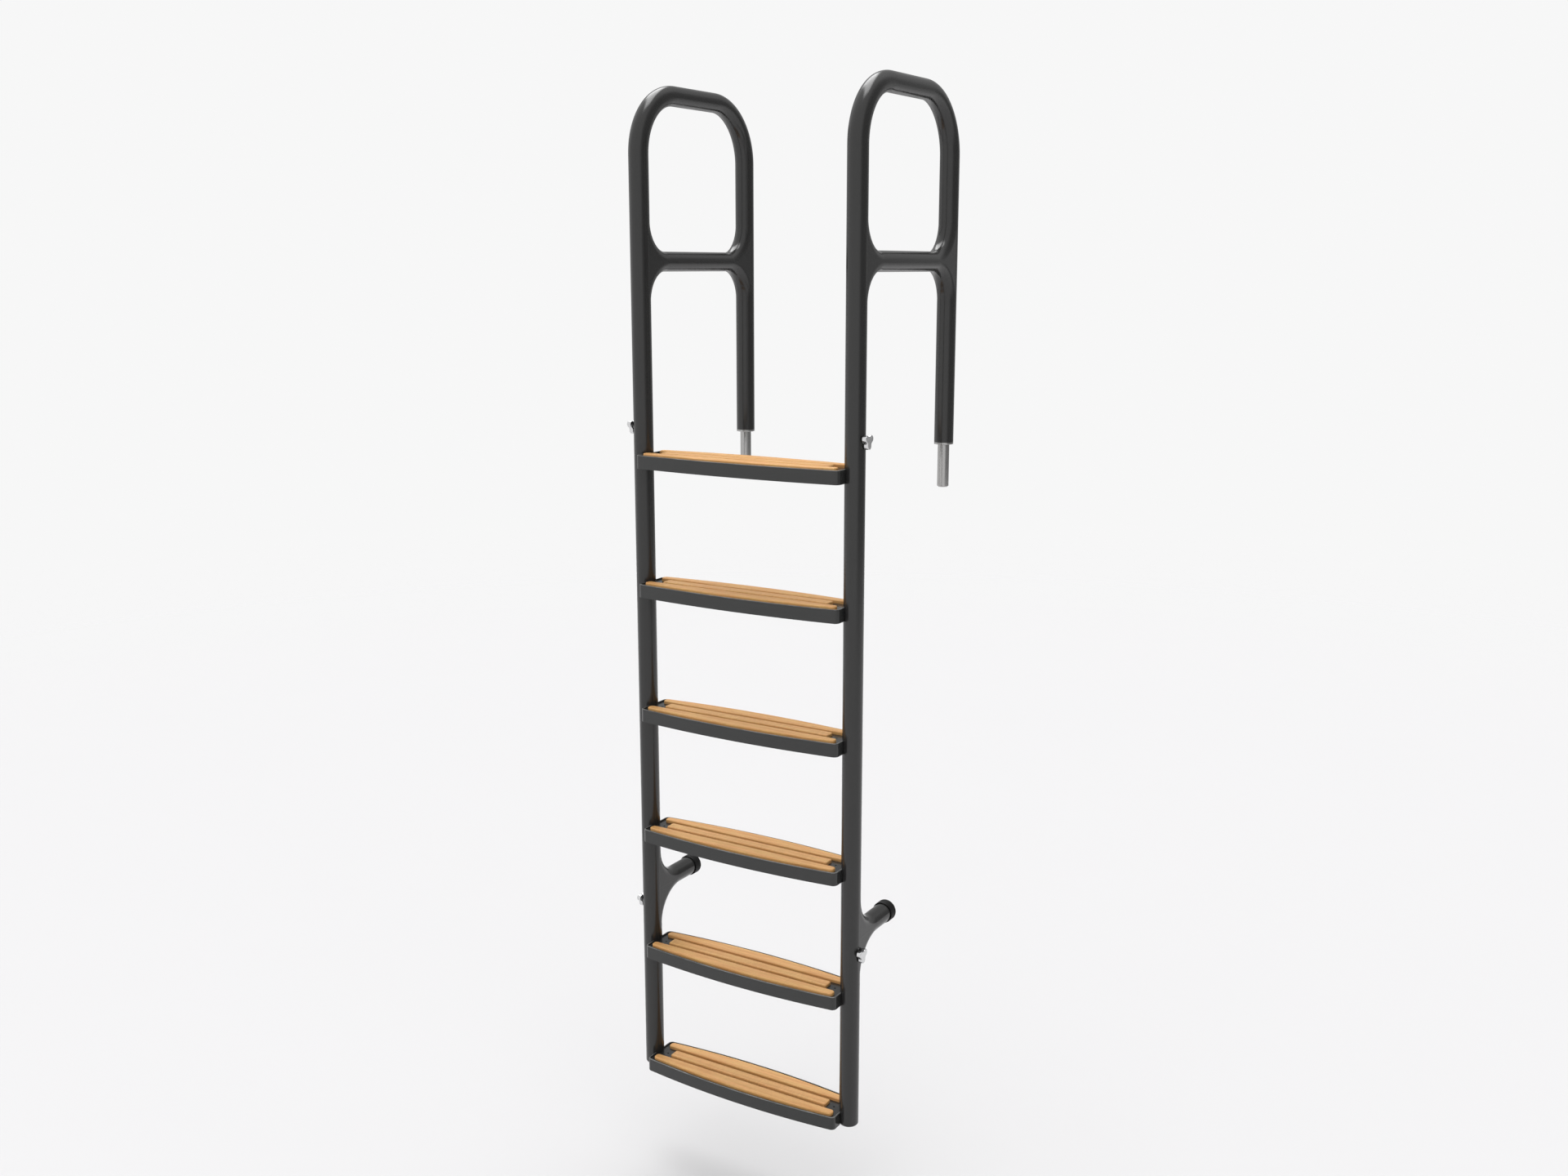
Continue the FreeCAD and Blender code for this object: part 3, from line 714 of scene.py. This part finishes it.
def studio():
    """Pale surround with a darker right side and one large soft box high behind on the left."""
    world = bpy.data.worlds.new("studio")
    bpy.context.scene.world = world
    tree = Tree(world)
    way = tree.node("TexCoord").outputs["Generated"]
    box_way = heading(-135, 71)
    box_side = np.cross((0, 0, 1), box_way)
    box_side /= np.linalg.norm(box_side)
    box_up = np.cross(box_way, box_side)
    facing = tree.dot(way, box_way)
    beside = tree.math("ABSOLUTE", tree.math("DIVIDE", tree.dot(way, box_side), facing))
    above = tree.math("ABSOLUTE", tree.math("DIVIDE", tree.dot(way, box_up), facing))
    inside = tree.math("MULTIPLY", tree.ramp(beside, 0.34, 0.16, smooth=True),
                       tree.ramp(above, 0.78, 0.50, smooth=True))
    inside = tree.math("MULTIPLY", inside, tree.math("GREATER_THAN", facing, 0.0))
    shade = tree.ramp(tree.dot(way, heading(112, 0)), 0.45, 0.85, smooth=True)
    height = tree.node("SeparateXYZ", {0: way}).outputs[2]
    shade = tree.math("MULTIPLY", shade, tree.ramp(height, -0.4, -0.1, smooth=True))
    behind = tree.ramp(tree.dot(way, heading(-160, 0)), 0.35, 0.85, smooth=True)
    dim = tree.math("MAXIMUM", tree.math("MULTIPLY", shade, 0.68), tree.math("MULTIPLY", behind, 0.48))
    level = tree.math("SUBTRACT", 0.93, dim)
    level = tree.math("ADD", level, tree.math("MULTIPLY", inside, 4.8))
    seen = tree.node("LightPath").outputs["Is Camera Ray"]
    light = tree.node("Background", {"Color": (1, 1, 1, 1), "Strength": level})
    plain = tree.node("Background", {"Color": BACKDROP, "Strength": 1.0})
    mixed = tree.node("MixShader", {0: seen, 1: light.outputs[0], 2: plain.outputs[0]})
    output = tree.node("OutputWorld")
    tree.feed(output.inputs["Surface"], mixed.outputs[0])
    return world


def floor():
    """Round pale floor that fades out at its rim and is open from below."""
    rim = circle((0, 0, FLOOR_Z), (1, 0, 0), (0, 1, 0), FLOOR_RADIUS, FLOOR_POINTS)
    mesh = bpy.data.meshes.new("floor")
    mesh.from_pydata([tuple(point) for point in rim], [], [tuple(range(FLOOR_POINTS))])
    made = bpy.data.objects.new("floor", mesh)
    bpy.context.scene.collection.objects.link(made)
    coat = bpy.data.materials.new("pale_floor")
    tree = Tree(coat)
    coords = tree.node("TexCoord").outputs["Object"]
    flat = tree.scaled(coords, (1.0, 1.0, 0.0))
    reach = tree.node("VectorMath", {0: flat}, operation="LENGTH").outputs["Value"]
    fade = tree.ramp(reach, 3.5, 8.5, smooth=True)
    cloud = tree.noise(coords, 3.0, 2.0)
    colour = tree.mix(cloud, (0.618, 0.614, 0.620, 1), (0.622, 0.618, 0.624, 1))
    matt = tree.node("BsdfDiffuse", {"Color": colour})
    glow = tree.node("Emission", {"Color": (0.931, 0.928, 0.934, 1), "Strength": 1.0})
    soft = tree.node("MixShader", {0: 0.15, 1: matt.outputs[0], 2: glow.outputs[0]})
    clear = tree.node("BsdfTransparent")
    below = tree.node("NewGeometry").outputs["Backfacing"]
    gone = tree.math("MAXIMUM", fade, below)
    mixed = tree.node("MixShader", {0: gone, 1: soft.outputs[0], 2: clear.outputs[0]})
    output = tree.node("OutputMaterial")
    tree.feed(output.inputs["Surface"], mixed.outputs[0])
    mesh.materials.append(coat)


def camera():
    lens = bpy.data.cameras.new("camera")
    lens.lens = 35
    lens.sensor_width = 36
    made = bpy.data.objects.new("camera", lens)
    bpy.context.scene.collection.objects.link(made)
    made.location = (1.61679, -2.89440, 0.36363)
    made.rotation_euler = (math.radians(78.0814), 0, math.radians(31.3293))
    bpy.context.scene.camera = made


studio()
floor()
camera()
bpy.context.scene.view_settings.view_transform = "Standard"
